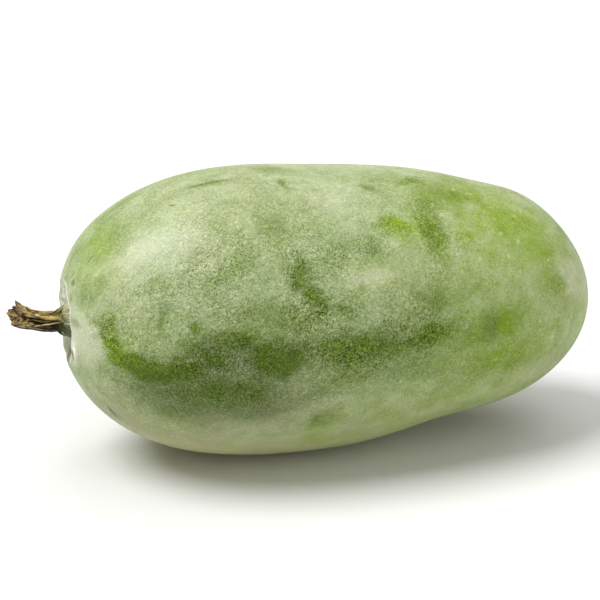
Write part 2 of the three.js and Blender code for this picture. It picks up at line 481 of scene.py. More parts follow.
scratches = {  # thin dark lines and nicks
    "long": (-68, 79, 18, 0.5, 3, 0.8),
    "short": (-95, 70, 3.5, 0.7, -25, 0.8),
    "left": (-147, 62, 4, 0.6, 30, 0.7),
    "low": (-139, -50.5, 7, 2.2, -50, 0.8),
    "belly": (-137, -71, 6, 1.1, 10, 0.6),
    "besideDish": (-157.5, 57, 1.2, 3.5, 0, 0.6),
    "overDish": (-156.6, 67, 2, 0.8, 20, 0.7),
    "besideRim": (-158.5, 15, 2.5, 5, 25, 0.45),
}
waxLine = (58, 48, 36, 1.6, 100, 0.9)  # one pale line across, left of the shoulder
farSide = {  # rubbed spots by chance, on the side away from the camera
    "seed": 11,
    "count": 24,
    "ranges": [(-125, 165), (118, 262), (8, 30), (6, 14), (-40, 40), (0.4, 0.9)],  # a spot's six values
}
cutFrom = 170  # degrees; a listed spot past this crosses the cut in the chart
spotDrift = {  # how spots stray sideways: noise cells in each metre, and reach in metres
    "broad": (16, 0.05),
    "close": (28, 0.026),
    "fine": (120, 0.012),
}


def farSideSpots():
    chance = random.Random(farSide["seed"])
    count, ranges = farSide["count"], farSide["ranges"]
    return {f"far{i}": tuple(chance.uniform(*span) for span in ranges) for i in range(count)}


def withTwins(spots, above=cutFrom):  # the chart is cut at 180 degrees, so a spot there is drawn twice
    twins = {name + "Twin": (x, up - 360, *rest) for name, (x, up, *rest) in spots.items() if up > above}
    return {**spots, **twins}


def drawSpotTree():  # one soft oval on the skin's chart, laid over the spots before it
    inputs = {"Chart": "Vector", "Middle": "Vector", "Size": "Vector", "Lean": "Float"}
    inputs.update({"Edge": "Float", "Strength": "Float", "Before": "Float"})
    tree, given = newTree("spotOnSkin", inputs, "Float")
    away = given.part("Chart").vector("SUBTRACT", given.part("Middle"))
    sockets = {"Vector": away, "Angle": -given.part("Lean")}
    turned = Wire.put("ShaderNodeVectorRotate", {"rotation_type": "Z_AXIS"}, sockets)
    far = turned.vector("DIVIDE", given.part("Size")).vector("LENGTH")
    spot = far.smooth(given.part("Edge"), 1.0, given.part("Strength"), 0.0)
    endTree(spot.atLeast(given.part("Before")))
    return tree


def spotValue(spotTree, chart, spots, edge):  # how far each vertex lies inside any of the spots
    total = 0.0
    for x, up, long, wide, lean, strength in spots.values():
        sockets = {
            "Chart": chart,
            "Middle": (x * millimetre, math.radians(up) * rind["girth"], 0),
            "Size": (long * millimetre, wide * millimetre, 1),
            "Lean": math.radians(lean),
            "Edge": edge,
            "Strength": strength,
            "Before": total,
        }
        total = Wire.put("GeometryNodeGroup", {"node_tree": spotTree}, sockets)
    return total


def markSpots(grid, spotTree, place, chart):  # each kind of spot becomes a value on the mesh
    broad = chart.vector("ADD", driftAt(place, *spotDrift["broad"])).vector("MULTIPLY", (1, 1, 0))
    close = chart.vector("ADD", driftAt(place, *spotDrift["close"]))
    close = close.vector("ADD", driftAt(place, *spotDrift["fine"])).vector("MULTIPLY", (1, 1, 0))
    kinds = {  # the chart, the spots, and the share of a spot at full strength
        "rubbed": (close, {**rubbedSpots, **withTwins(farSideSpots(), above=0)}, 0.1),
        "waxed": (close, waxSpots, 0.1),
        "thinned": (broad, thinnedZones, 0.3),
        "paleGreen": (broad, paleGreens, 0.3),
        "deepGreen": (broad, deepGreens, 0.2),
        "coarse": (broad, coarseZones, 0.3),
    }
    for name, (strayed, spots, edge) in kinds.items():
        grid = mark(grid, name, spotValue(spotTree, strayed, withTwins(spots), edge))
    return grid


def drawRindTree():
    spotTree = drawSpotTree()
    tree, given = startTree("rolledSkin", rind, rindSteps)
    size = {name: given.part(name) for name in rind}
    grid, turn, step = rolledGrid(given.part("Around"), given.part("Along"))
    offPole = step.math("GREATER_THAN", poleMargin) * step.math("LESS_THAN", 1 - poleMargin)

    share = -((step ** size["ringCrowding"]) * math.pi).math("COSINE")
    stemSide = share.math("LESS_THAN", 0.0)
    blossomSide = 1 - stemSide
    reach = stemSide * size["toStemEnd"] + blossomSide * size["toBlossomEnd"]
    fullness = stemSide * size["stemEndFullness"] + blossomSide * size["blossomEndFullness"]
    hollow = (1 - share.math("ABSOLUTE") ** fullness).atLeast(0.0)
    radius = offPole * size["girth"] * hollow ** (1 / size["ringFullness"])

    inDish = 1 - radius.smooth(size["dishFloor"], size["dishRim"])
    onNeck = 1 - radius.smooth(size["neckTop"], size["neckFoot"])
    onCreases = radius.smooth(size["neckTop"], size["dishFloor"])
    onCreases = onCreases * (1 - radius.smooth(size["dishRim"], size["creaseReach"]))
    fold = size["creaseDepth"] * onCreases * ((turn * creaseCount).math("COSINE") * 0.5 + 0.5)
    stemSink = size["dishDepth"] * inDish - size["neckHeight"] * onNeck + fold
    inScar = 1 - radius.smooth(0, size["scarRadius"])
    onButton = 1 - radius.smooth(0, size["buttonRadius"])
    blossomSink = size["scarDepth"] * inScar - size["buttonHeight"] * onButton
    x = share * reach + stemSide * stemSink - blossomSide * blossomSink

    away = (1 - share * share).atLeast(0.0).math("SQRT")
    grown = radius
    for swelling in swellings:
        across = turn.turnFrom(swelling["around"]).bell(math.radians(swelling["turn"]))
        here = (x - swelling["x"]).bell(swelling["length"]) * across
        grown = grown + away * here * swelling["height"]
    cosine, sine = turn.math("COSINE"), turn.math("SINE")
    uneven = noiseAt(joinXyz(x, grown * cosine, grown * sine), unevenCells) - 0.5
    grown = grown + offPole * away * uneven * size["unevenness"]

    y = grown * cosine * size["width"]
    z = (grown * sine - size["fall"] * x + size["middleHeight"]).atLeast(0.0)
    place = joinXyz(x + widestX, y, z)
    chart = joinXyz(x + widestX, (math.pi - turn) * rind["girth"], 0)
    endShape(closeUp(markSpots(grid, spotTree, place, chart), place), given.part("Material"))
    return tree


# Fruit finish: a grey-green wax bloom over green skin, rubbed thin in patches, with some painted
# highlight, sheen, bounce light and shade laid into it

rindPaint = {
    "warmBloom": paint("#adb48d"),
    "coolBloom": paint("#abb58f"),
    "leaf": paint("#607c18"),
    "deepLeaf": paint("#4a6010"),
    # dark grey-green; in the band under the middle it is partly painted shade
    "shade": paint("#475621"),
    "paleLeaf": paint("#7e9622"),
    "smear": paint("#a09a7c"),
    "fleck": paint("#c3c993"),
    # the neck's colours, paler on top and darker below; the dark one is partly painted shade
    "neck": paint("#3f4a1a"),
    "neckTop": paint("#b3af78"),
    # grey-olive painted shadow in the dish under the stem
    "dish": paint("#6c7256"),
    "ivory": paint("#f6f3e8"),
    # pale rim and flakes; along the dish's rim partly a painted highlight
    "rim": paint("#f3f0e6"),
    "cork": paint("#7d6a47"),
    "scratch": paint("#454c26"),
    # pale ground spot, partly painted bounce light on the underside
    "groundSpotAndBounce": paint("#c8cc94"),
}
rindCells = {  # noise cells in each metre
    "broad": 17,
    "calm": 27,
    "blotch": 60,
    "nudge": 60,
    "fleck": 110,
    "wiped": 120,
    "smeared": 130,
    "speck": 380,
    "crinkle": 490,
    "crack": 500,
    "powder": 1100,
}
rindLook = {
    "cover": 0.68,  # the bloom's share of untouched skin
    "waxed": 0.4,  # what a wax spot adds to it
    "thinned": 0.32,  # and what a thinned zone takes away
    "nudge": 0.003,  # metres that thin lines and flecks stray
    "lineDepth": 0.06,  # metres that a line's mask reaches inwards
    "wipeLean": 0.66,  # radians
    "belly": (0.02, 0.075),  # heights over which the grain calms down
    "groundSpotAndBounce": (0.004, 0.042),  # heights over which the pale ground spot and its painted bounce light fade
    "brightness": 1.08,
    "roughness": 0.5,
    "specular": 0.13,
    "bump": 0.9,
    "bumpDepth": 0.0013,
    "waxCoat": 0.4,
    "waxCoatRoughness": 0.36,
}
stemEndMarks = {  # metres from the stem's axis; a pair is where a mark starts to fade and where it ends
    "neck": (0.0105, 0.0145),
    "dish": (0.022, 0.027),
    "rim": 0.0275,
    "rimWidth": 0.0011,
    "flake": 0.031,
    "flakeWidth": 0.003,
    "bruise": 0.0294,
    "bruiseWidth": 0.0016,
    "rays": (0.02, 0.05),
    "depth": (0.018, 0.04),  # along X, from the neck's top
}
blossomEndMarks = {  # the same, from the axis at the blossom end
    "scar": (0.003, 0.0065),
    "rim": 0.0082,
    "rimWidth": 0.0018,
    "green": (0.004, 0.024),
    "depth": (0.02, 0.01),  # along X, back from the end
}


def skinRadiusAt(x):
    share = (x - widestX) / (rind["toStemEnd"] if x < widestX else rind["toBlossomEnd"])
    fullness = rind["stemEndFullness"] if x < widestX else rind["blossomEndFullness"]
    return rind["girth"] * max(0.0, 1 - abs(share) ** fullness) ** (1 / rind["ringFullness"])


def lineMask(place, name, x, up, long, wide, lean, strength):  # a thin oval that lies on the skin
    x, angle = x * millimetre, math.radians(up)
    radius = skinRadiusAt(x)
    middle = (x, -radius * math.cos(angle), middleHeightAt(x) + radius * math.sin(angle))
    facing = Matrix.Rotation(math.pi / 2 - angle, 3, "X") @ Matrix.Rotation(math.radians(lean), 3, "Z")
    settings = {"vector_type": "TEXTURE", "label": name}
    scale = (long * millimetre, wide * millimetre, rindLook["lineDepth"])
    sockets = {"Vector": place, "Location": middle, "Rotation": facing.to_euler("XYZ"), "Scale": scale}
    away = Wire.put("ShaderNodeMapping", settings, sockets).vector("LENGTH")
    return away.smooth(0.3, 1.0, strength, 0.0)


def fromAxis(place, x):  # from a point of the middle line: how far along and out, which way, and where
    moved = place.vector("SUBTRACT", (x, 0, middleHeightAt(x)))
    along, y, z = splitXyz(moved)
    out = (y * y + z * z).math("SQRT")
    spoke = joinXyz(0, y, z).vector("NORMALIZE")
    return along, out, spoke, moved


def stemEndMasks(place, crack):  # the neck, the dish and the painted shadow in it under the stem, its cracked rim with its painted highlight, and the rays round it
    at = stemEndMarks
    along, out, spoke, moved = fromAxis(place, neckTopX)
    _, side, above = splitXyz(spoke)
    nearStem = along.smooth(*at["depth"], 1.0, 0.0)
    toCamera = side.smooth(-0.5, 0.3, 1.0, 0.0) * nearStem
    streaks = noiseAt(spoke.vector("ADD", moved.vector("SCALE", scale=9)), 11, 3, 0.65)
    stray = streaks - 0.5
    ring = out + (noiseAt(spoke, 2.2, 3, 0.6) - 0.5) * 0.009 + stray * 0.01
    inDish = ring.smooth(*at["dish"], 1.0, 0.0) * nearStem
    wall = inDish * (above + stray * 2.5).smooth(-0.2, 0.7, 0.15, 1.0)
    # the dish's pale cracked rim, stronger on its upper side and on the side that faces the camera:
    # partly its own colour, partly a painted highlight along the edge
    rim = (out + (noiseAt(spoke, 5) - 0.5) * 0.002 - at["rim"]).bell(at["rimWidth"])
    rim = rim * (0.15 + toCamera * 0.85) * (above + stray * 1.5).smooth(-0.3, 0.4, 0.25, 1.0)
    rim = rim * (0.4 + crack * 0.6) * nearStem
    flake = (above + 0.36).bell(0.2) * (out + stray * 0.006 - at["flake"]).bell(at["flakeWidth"])
    bruise = (above + 0.46).bell(0.12) * (out + stray * 0.003 - at["bruise"]).bell(at["bruiseWidth"])
    return {
        "above": above,
        "streaks": streaks,
        "stray": stray,
        "neck": ring.smooth(*at["neck"], 1.0, 0.0) * nearStem,
        "wall": wall,
        "vein": (streaks - 0.46).bell(0.03) * wall,
        "rim": rim,
        "flake": flake * toCamera * 1.4,
        "bruise": bruise * toCamera * 1.3,
        # painted shadow: the dish is darker on its lower side, under the stem
        "shaded": inDish * above.smooth(-0.4, 0.2, 0.95, 0.0),
        "rays": out.smooth(*at["rays"], 1.0, 0.0) * nearStem,
    }


def blossomEndMasks(place):  # the corky scar, its rim and the greener skin round it
    at = blossomEndMarks
    _, out, spoke, _ = fromAxis(place, farEndX)
    near = splitXyz(place)[0].smooth(farEndX - at["depth"][0], farEndX - at["depth"][1])
    ring = out + (noiseAt(spoke, 4, 3, 0.75) - 0.5) * 0.011
    return {
        "scar": ring.smooth(*at["scar"], 1.0, 0.0) * near,
        "rim": (ring - at["rim"]).bell(at["rimWidth"]) * near,
        "green": out.smooth(*at["green"], 0.5, 0.0) * near,
    }


def rindMaterial():
    material = newMaterial("waxyRind")
    cells, look, colors = rindCells, rindLook, rindPaint
    place = Wire.put("ShaderNodeTexCoord", out="Object")
    rubbed, thinned, waxed = marked("rubbed"), marked("thinned"), marked("waxed")
    paleGreen, deepGreen, coarse = marked("paleGreen"), marked("deepGreen"), marked("coarse")
    nudged = place.vector("ADD", driftAt(place, cells["nudge"], look["nudge"]))
    scratched = 0.0
    for name, scratch in scratches.items():
        scratched = lineMask(nudged, name, *scratch).atLeast(scratched)
    waxed = waxed.atLeast(lineMask(nudged, "waxLine", *waxLine))

    broad = noiseAt(place, cells["broad"], 3, 0.55)
    blotch = noiseAt(place, cells["blotch"], 4, 0.62)
    sockets = {"Vector": place, "Angle": look["wipeLean"]}
    leaning = Wire.put("ShaderNodeVectorRotate", {"rotation_type": "Y_AXIS"}, sockets)
    wiped = noiseAt(leaning.vector("MULTIPLY", (0.3, 1, 1)), cells["wiped"], 3, 0.6)
    smeared = noiseAt(place.vector("MULTIPLY", (0.2, 1, 1)), cells["smeared"], 3, 0.6)
    speck = noiseAt(place, cells["speck"], 3, 0.68)
    crinkle = noiseAt(place, cells["crinkle"], 2, 0.65, distortion=1.2)
    powder = noiseAt(place, cells["powder"], 1)
    crack = noiseAt(place, cells["crack"], 2, 0.7).smooth(0.4, 0.55, 0.2, 1.0)
    calm = noiseAt(place, cells["calm"]).smooth(0.4, 0.62)
    fleck = Wire.put("ShaderNodeTexVoronoi", {}, {"Vector": nudged, "Scale": cells["fleck"]})
    fleck = fleck.smooth(0.06, 0.24, 0.6, 0.0) * paleGreen * fleck.part("Color").smooth(0.4, 0.7)

    stemEnd = stemEndMasks(place, crack)
    blossomEnd = blossomEndMasks(place)
    streaks = stemEnd["streaks"]
    height = splitXyz(place)[2]
    low = height.smooth(*look["belly"], 1.0, 0.0)
    # a pale ground spot low on the fruit: partly its own colour, partly painted bounce light that lifts
    # the dark near the floor
    onGroundSpotAndBounce = height + (broad - 0.5) * 0.03 + (blotch - 0.5) * 0.03
    onGroundSpotAndBounce = onGroundSpotAndBounce.smooth(*look["groundSpotAndBounce"], 0.9, 0.0)

    # How much bloom covers the green, and how strongly the grain shows
    cover = look["cover"] + (broad - 0.5) * 0.5 + (blotch - 0.5) * (0.68 + paleGreen * 0.6)
    cover = cover + (wiped - 0.5) * 0.7 + waxed * look["waxed"] - thinned * look["thinned"]
    ragged = (rubbed * (1.15 + (blotch - 0.5) * 2.4 + (speck - 0.5) * 2.2)).clamp()
    cover = (cover - blossomEnd["green"]) * (1 - ragged)
    cover = cover + stemEnd["rays"] * (0.1 + stemEnd["stray"] * 0.9)
    grain = (1 - calm * 0.25) * (1 - paleGreen * 0.45) * (1 - waxed * 0.1) * (1 - low * 0.4)
    grain = grain * (0.8 + coarse * 0.6) * (1.05 + rubbed * 0.3)
    cover = (cover + grain * ((speck - 0.5) * 0.48 + (powder - 0.5) * 0.3)).clamp()

    green = blend(paleGreen, colors["leaf"], colors["paleLeaf"])
    dark = blend(rubbed, colors["shade"], colors["deepLeaf"])
    green = blend(deepGreen + rubbed * 0.5 * (1 - paleGreen), green, dark)
    bloom = blend(calm, colors["warmBloom"], colors["coolBloom"])
    skin = blend(cover, green, bloom)
    flecks = crinkle.smooth(0.35, 0.75) - 0.34
    tone = grain * (flecks * (0.85 - cover * 0.45) + (powder - 0.5) * (1.8 - cover * 0.95))
    skin = skin.vector("SCALE", scale=tone + look["brightness"] + (blotch - 0.5) * 0.26)

    onBelly = low * (1 - paleGreen) * (1 - ragged)
    # paler on top of the neck, darker below: partly its own colour, partly painted shade on its lower
    # side
    upNeck = (stemEnd["above"] + stemEnd["stray"] * 5).smooth(-0.1, 1.3)
    marks = [  # share and colour, each laid over the ones before it
        (fleck, colors["fleck"]),
        (scratched, colors["scratch"]),
        (onBelly * smeared.smooth(0.38, 0.6, 0.1, 0.9), colors["smear"]),
        (onGroundSpotAndBounce, colors["groundSpotAndBounce"]),
        # painted shadow under the stem
        (stemEnd["shaded"] * streaks.smooth(0.3, 0.6, 0.7, 1.0), colors["dish"]),
        (stemEnd["wall"], colors["ivory"]),
        (stemEnd["vein"], colors["cork"]),
        (stemEnd["neck"] * 0.85, blend(upNeck, colors["neck"], colors["neckTop"])),
        (stemEnd["rim"].atLeast(stemEnd["flake"] * (0.6 + crack * 0.4)), colors["rim"]),
        (blossomEnd["rim"] * (crack * 0.5 + 0.3), colors["smear"]),
        ((blossomEnd["scar"] * (crack * 0.6 + 0.4)).atLeast(stemEnd["bruise"]), colors["cork"]),
    ]
    for share, color in marks:
        skin = blend(share, skin, color)

    relief = grain * (speck * 0.5 + crinkle * 1.1) + streaks * stemEnd["rays"]
    relief = relief - scratched * 0.7 + stemEnd["rim"] * 0.7
    sockets = {
        "Base Color": skin,
        "Roughness": look["roughness"],
        "Specular IOR Level": look["specular"],
        "Normal": bumpFrom(relief, look),
        "Coat Weight": waxed * waxed * look["waxCoat"],
        "Coat Roughness": look["waxCoatRoughness"],
    }
    endMaterial(sockets)
    return material


def buildFruit():
    values = {**rind, **rindSteps, "Material": rindMaterial()}
    fruit = growFromTree("gourdFruit", drawRindTree(), values)
    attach(fruit, "root")
    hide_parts("gourd_fruit")
    return fruit


fruit = buildFruit()
print("fruit:", len(fruit.data.polygons), "faces")


# Stem shape: a ribbed, twisted stub by the solid's rule, with loose strands laid over it

stem = {
    "length": 0.0315,
    "sunk": 0.001,  # how far its foot goes into the neck
    "radius": 0.0059,
    "baseFlare": 0.0012,
    "baseFlareLength": 0.004,
    "tipSwell": 0.0008,
    "ribHeight": 0.00075,
    "fineRibHeight": 0.00028,
    "fibreRelief": 0.0011,
    "twist": 0.35,
    "rise": 0.0085,
    "riseFullness": 2.2,
    "tearStart": 0.019,
    "tearSlant": 0.006,
    "tearDepth": 0.0025,
    "fray": 0.0028,
    "furrowDepth": 0.002,
    "hornFlare": 0.0022,
    "hornReach": 0.0043,
    "strandThickness": 0.00034,
}
stemSteps = {"Around": 170, "Along": 120, "Strands": 46, "Shreds": 44, "Roots": 34, "Seed": 4}
ribCounts = {"ribs": 5, "fineRibs": 12}
furrow = {"around": 167, "turn": 11}
horn = {"around": 105, "blunt": 10, "turn": 34}  # the blunt part of its tip, and half its foot
raggedWaves = [(3, 0.0008, 0.7), (7, 0.0004, 2.1), (13, 0.0003, 0.4)]  # count, height, start
ribFade = 0.004  # metres of the foot over which the ribs grow
ridgeSpan = 0.0022  # metres of relief between a dark furrow and a bright rib
tornTint = (0.022, 0.03)  # metres along the stem over which it turns as brown as its end
stemRows = {"foot": 0.05, "tornFrom": 0.78}  # shares of the rows for the foot's disc and the torn end
fibreNoise = {"scale": 6.5, "drawnOut": 22}
frayNoise = {"scale": 5, "slice": 3.3}
strandSides = 7
strandPoints = {"loose": 26, "shreds": 8, "roots": 12, "byHand": 14}
seedSteps = {"shreds": 20, "roots": 40}
shredReach = {"sunk": 0.003, "least": 0.0022, "more": 0.0028}  # metres
rootLift = 0.0025  # metres over the neck's top, at the upper end
# Strands listed one by one: turn round the stem in degrees and place along it in mm at both ends, lift
# in mm at both ends, half thickness in mm, and paleness.
handStrands = {
    "paleRib": (169, 1.5, 188, 14, 0.5, 0.6, 0.6, 0.75),
    "paleRibEnd": (188, 14, 194, 17.5, 0.6, 0.9, 0.4, 0.8),
    "splinter": (93, 6.5, 96, 2.2, 0.1, 2.6, 0.45, 0.0),
    "hook": (168, 1.6, 156, -1.0, 0.4, 1.8, 0.4, 0.9),
    "knotFleck": (138, 15.5, 132, 18.5, 0.4, 0.6, 0.75, 0.9),
    "knotBark": (146, 15, 138, 22, 0.3, 0.4, 0.9, 0.15),
    "lowFleck": (238, 21, 240, 27, 0.3, 0.4, 0.5, 1.0),
    "hair": (180, 25, 176, 33, -1.0, 0.5, 0.13, 0.6),
    "hornFleck": (120, 24, 118, 27, -0.3, 0.6, 0.55, 1.0),
}
# What chance sets for each strand: the least and the most of each value, in the order of its seeds
looseRanges = {
    "turn": (0.0, 2 * math.pi),
    "drift": (-0.3, 0.3),  # radians round the stem
    "start": (-0.05, 0.7),  # shares of the stem's length
    "finish": (0.75, 1.02),
    "tipLift": (-0.3, 1.2),  # mm off the ribs
    "lift": (-0.25, 0.25),
    "thickness": (0.5, 1.5),
    "pale": (-0.6, 0.75),
    "ridge": (0.2, 1.0),
}
shredRanges = {
    "turn": (0.0, 2 * math.pi),
    "outer": (0.05, 1.0),
    "reach": (0.0, 1.0),
    "spread": (-0.0016, 0.0012),
    "drift": (-0.5, 0.5),
    "thickness": (0.7, 2.1),
    "pale": (-0.5, 1.0),
    "ridge": (0.2, 1.0),
}
rootRanges = {
    "turn": (0.0, 2 * math.pi),
    "drift": (-0.3, 0.3),
    "reach": (0.0085, 0.0105),  # metres from the axis
    "lift": (0.0, 0.0003),
    "thickness": (0.7, 1.6),
    "pale": (-0.4, 0.6),
    "ridge": (0.1, 1.0),
}


def randomFrom(low, high, chooser, seed):
    sockets = {2: low, 3: high, 7: chooser, 8: seed}
    return Wire.put("FunctionNodeRandomValue", {"data_type": "FLOAT"}, sockets, 1)


def chancesFor(index, seed, ranges):
    return {key: randomFrom(*span, index, seed + i) for i, (key, span) in enumerate(ranges.items())}


class StemRule:  # where a point of the stem lies, by its place along, its turn and its radius
    def __init__(self, given):
        self.size = {name: given.part(name) for name in stem}

    def radiusAt(self, t):
        size = self.size
        flare = size["baseFlare"] * (-(t.atLeast(0.0) / size["baseFlareLength"])).math("EXPONENT")
        return size["radius"] + flare + size["tipSwell"] * t.smooth(size["tearStart"], size["length"])

    def ribbing(self, t, turn):
        size = self.size
        twisted = turn + size["twist"] * t / size["length"]
        ribs = (twisted * ribCounts["ribs"]).math("COSINE") * size["ribHeight"]
        fine = (twisted * ribCounts["fineRibs"]).math("COSINE") * size["fineRibHeight"]
        inFurrow = turn.turnFrom(furrow["around"]).bell(math.radians(furrow["turn"]))
        wrapped = joinXyz(twisted.math("COSINE"), twisted.math("SINE"), t * fibreNoise["drawnOut"])
        fibres = (noiseAt(wrapped, fibreNoise["scale"], 3, 0.6) - 0.5) * size["fibreRelief"] * 2
        return ribs + fine + fibres - inFurrow * size["furrowDepth"]

    def onHorn(self, turn):
        away = turn.turnFrom(horn["around"]).math("ABSOLUTE")
        return away.smooth(math.radians(horn["blunt"]), math.radians(horn["turn"]), 1.0, 0.0)

    def hornAt(self, t, turn):
        opening = t.smooth(self.size["tearStart"], self.size["length"])
        return self.onHorn(turn) * self.size["hornFlare"] * opening * opening

    def barkAt(self, t, turn):  # the radius of the ribbed side
        ribs = self.ribbing(t, turn) * t.smooth(0.0, ribFade)
        return self.radiusAt(t) + ribs + self.hornAt(t, turn)

    def endAt(self, turn, outer):  # how far the torn end reaches; outer is 0 on the axis, 1 at the side
        size = self.size
        near = 0.5 - turn.math("COSINE") * 0.5
        end = size["length"] - size["tearSlant"] * (near * outer + (1 - outer) * 0.5)
        end = end + size["hornReach"] * self.onHorn(turn) * outer - size["tearDepth"] * (1 - outer)
        for count, height, start in raggedWaves:
            end = end + outer * height * (turn * count + start).math("COSINE")
        across = joinXyz(turn.math("COSINE") * outer, turn.math("SINE") * outer, frayNoise["slice"])
        return end + (noiseAt(across, frayNoise["scale"], 3, 0.7) - 0.5) * size["fray"]

    def place(self, t, turn, radius):
        size = self.size
        share = (t / size["length"]).atLeast(0.0)
        fullness = size["riseFullness"]
        slope = size["rise"] * fullness * share ** (fullness - 1) / size["length"]
        slope = slope.math("ARCTANGENT")
        up = radius * turn.math("SINE")
        x = t - up * slope.math("SINE")
        z = size["rise"] * share ** fullness + up * slope.math("COSINE")
        return joinXyz(neckTopX - x, radius * turn.math("COSINE"), z + middleHeightAt(neckTopX))


def stemBody(rule, given):
    size = rule.size
    foot, top = stemRows["foot"], stemRows["tornFrom"]
    grid, turn, step = rolledGrid(given.part("Around"), given.part("Along"))
    outer = (step / foot).math("MINIMUM", (1 - step) / (1 - top)).math("MINIMUM", 1.0)
    t = ((step - foot) / (top - foot)).clamp() * (size["length"] + size["sunk"]) - size["sunk"]
    shape = rule.ribbing(t, turn)
    radius = rule.radiusAt(t) * outer + outer * (shape * t.smooth(0.0, ribFade) + rule.hornAt(t, turn))
    past = (t - size["tearStart"]).atLeast(0.0)
    torn = (rule.endAt(turn, outer) - size["tearStart"]) / (size["length"] - size["tearStart"])
    t = t + past * (torn - 1)
    grid = mark(grid, "ridge", (shape / ridgeSpan + 0.5).clamp())
    grid = mark(grid, "torn", 1 - outer.smooth(0.85, 1.0) + t.smooth(*tornTint) * 0.5)
    grid = mark(grid, "pale", 0.0)
    return closeUp(grid, rule.place(t, turn, radius))


def strandCurves(amount, points):
    line = Wire.put("GeometryNodeCurvePrimitiveLine")
    sockets = {"Geometry": line, "Amount": amount}
    copies = Wire.put("GeometryNodeDuplicateElements", {"domain": "SPLINE"}, sockets)
    curves = Wire.put("GeometryNodeResampleCurve", {}, {"Curve": copies, "Count": points})
    return curves, copies.part("Duplicate Index"), Wire.put("GeometryNodeSplineParameter")


def tubeFrom(curve, thickness, pale, ridge):
    for name, value in {"pale": pale, "ridge": ridge, "torn": 0.0}.items():
        curve = mark(curve, name, value)
    ring = Wire.put("GeometryNodeCurvePrimitiveCircle", {}, {"Resolution": strandSides, "Radius": 1.0})
    sockets = {"Curve": curve, "Profile Curve": ring, "Scale": thickness, "Fill Caps": True}
    return Wire.put("GeometryNodeCurveToMesh", {}, sockets)


def taperOf(factor, fullness, depth):  # 1 in the middle of a strand, and thinner at both ends
    return (1 - (factor * 2 - 1).math("ABSOLUTE") ** fullness) * depth + (1 - depth)


def looseStrands(rule, given):  # long fibres that lie on the ribs, some of them past the torn end
    curves, index, factor = strandCurves(given.part("Strands"), strandPoints["loose"])
    chance = chancesFor(index, given.part("Seed"), looseRanges)
    turn = chance["turn"] + (factor - 0.5) * chance["drift"]
    end = rule.endAt(turn, 1.0)
    t = between(chance["start"] * end, end * chance["finish"], factor)
    lift = (chance["tipLift"] * factor ** 6 + chance["lift"]) * millimetre
    placed = movedTo(curves, rule.place(t, turn, rule.barkAt(t, turn) + lift))
    thickness = rule.size["strandThickness"] * taperOf(factor, 4, 0.75) * chance["thickness"]
    return tubeFrom(placed, thickness, chance["pale"].clamp(), chance["ridge"])


def endShreds(rule, given):  # short torn fibres that stand out of the end
    curves, index, factor = strandCurves(given.part("Shreds"), strandPoints["shreds"])
    chance = chancesFor(index, given.part("Seed") + seedSteps["shreds"], shredRanges)
    outer = chance["outer"] ** 0.5
    start = rule.endAt(chance["turn"], outer) - shredReach["sunk"]
    t = start + (chance["reach"] ** 3 * shredReach["more"] + shredReach["least"]) * factor
    radius = (rule.radiusAt(t) * 0.96 + rule.hornAt(t, chance["turn"])) * outer
    radius = radius + factor * factor * chance["spread"]
    bent = chance["turn"] + factor * factor * chance["drift"]
    placed = movedTo(curves, rule.place(t, bent, radius))
    thickness = rule.size["strandThickness"] * (1.1 - factor * 0.8) * chance["thickness"]
    return tubeFrom(placed, thickness, chance["pale"].clamp(), chance["ridge"])


def rootStrands(rule, given):  # fibres that run from the stem's foot down over the neck
    size = rule.size
    curves, index, factor = strandCurves(given.part("Roots"), strandPoints["roots"])
    chance = chancesFor(index, given.part("Seed") + seedSteps["roots"], rootRanges)
    turn = chance["turn"] + factor * factor * chance["drift"]
    start = size["radius"] + size["baseFlare"] * 0.5
    radius = between(start, chance["reach"], factor ** 1.3)
    sunk = radius.smooth(rind["neckTop"], rind["neckFoot"]) * rind["neckHeight"]
    t = (1 - factor) * rootLift - sunk + chance["lift"]
    placed = movedTo(curves, rule.place(t, turn, radius))
    thickness = size["strandThickness"] * (1.2 - factor * 0.9) * chance["thickness"]
    onTop = (turn.math("SINE") * 0.7 + 0.3).clamp()
    return tubeFrom(placed, thickness, chance["pale"].clamp() * onTop, chance["ridge"])


def strandsByHand(rule):
    curves, index, factor = strandCurves(len(handStrands), strandPoints["byHand"])
    columns = []
    for values in zip(*handStrands.values()):
        settings = {"data_type": "FLOAT", "choices": len(values)}
        sockets = {0: index, **{i + 1: value for i, value in enumerate(values)}}
        columns.append(Wire.put("GeometryNodeIndexSwitch", settings, sockets))
    turnA, fromT, turnB, toT, liftA, liftB, thick, pale = columns
    turn = between(turnA, turnB, factor) * math.radians(1)
    t = between(fromT, toT, factor) * millimetre
    lift = between(liftA, liftB, factor * factor) * millimetre
    placed = movedTo(curves, rule.place(t, turn, rule.barkAt(t, turn) + lift))
    thickness = taperOf(factor, 3, 0.8) * thick * millimetre
    return tubeFrom(placed, thickness, pale, pale * 0.9 + 0.05)


def drawStemTree():
    tree, given = startTree("tornStem", stem, stemSteps)
    rule = StemRule(given)
    parts = [stemBody(rule, given), looseStrands(rule, given), endShreds(rule, given)]
    parts += [rootStrands(rule, given), strandsByHand(rule)]
    joined = Wire.put("GeometryNodeJoinGeometry", {}, {0: parts})
    endShape(Wire.put("GeometryNodeSetShadeSmooth", {}, {"Geometry": joined}), given.part("Material"))
    return tree


# Stem finish: dry golden-olive ribs, dark brown furrows, pale flecks and a brown torn end, with painted
# shade underneath and in the furrows and a painted highlight on the upper rib crests

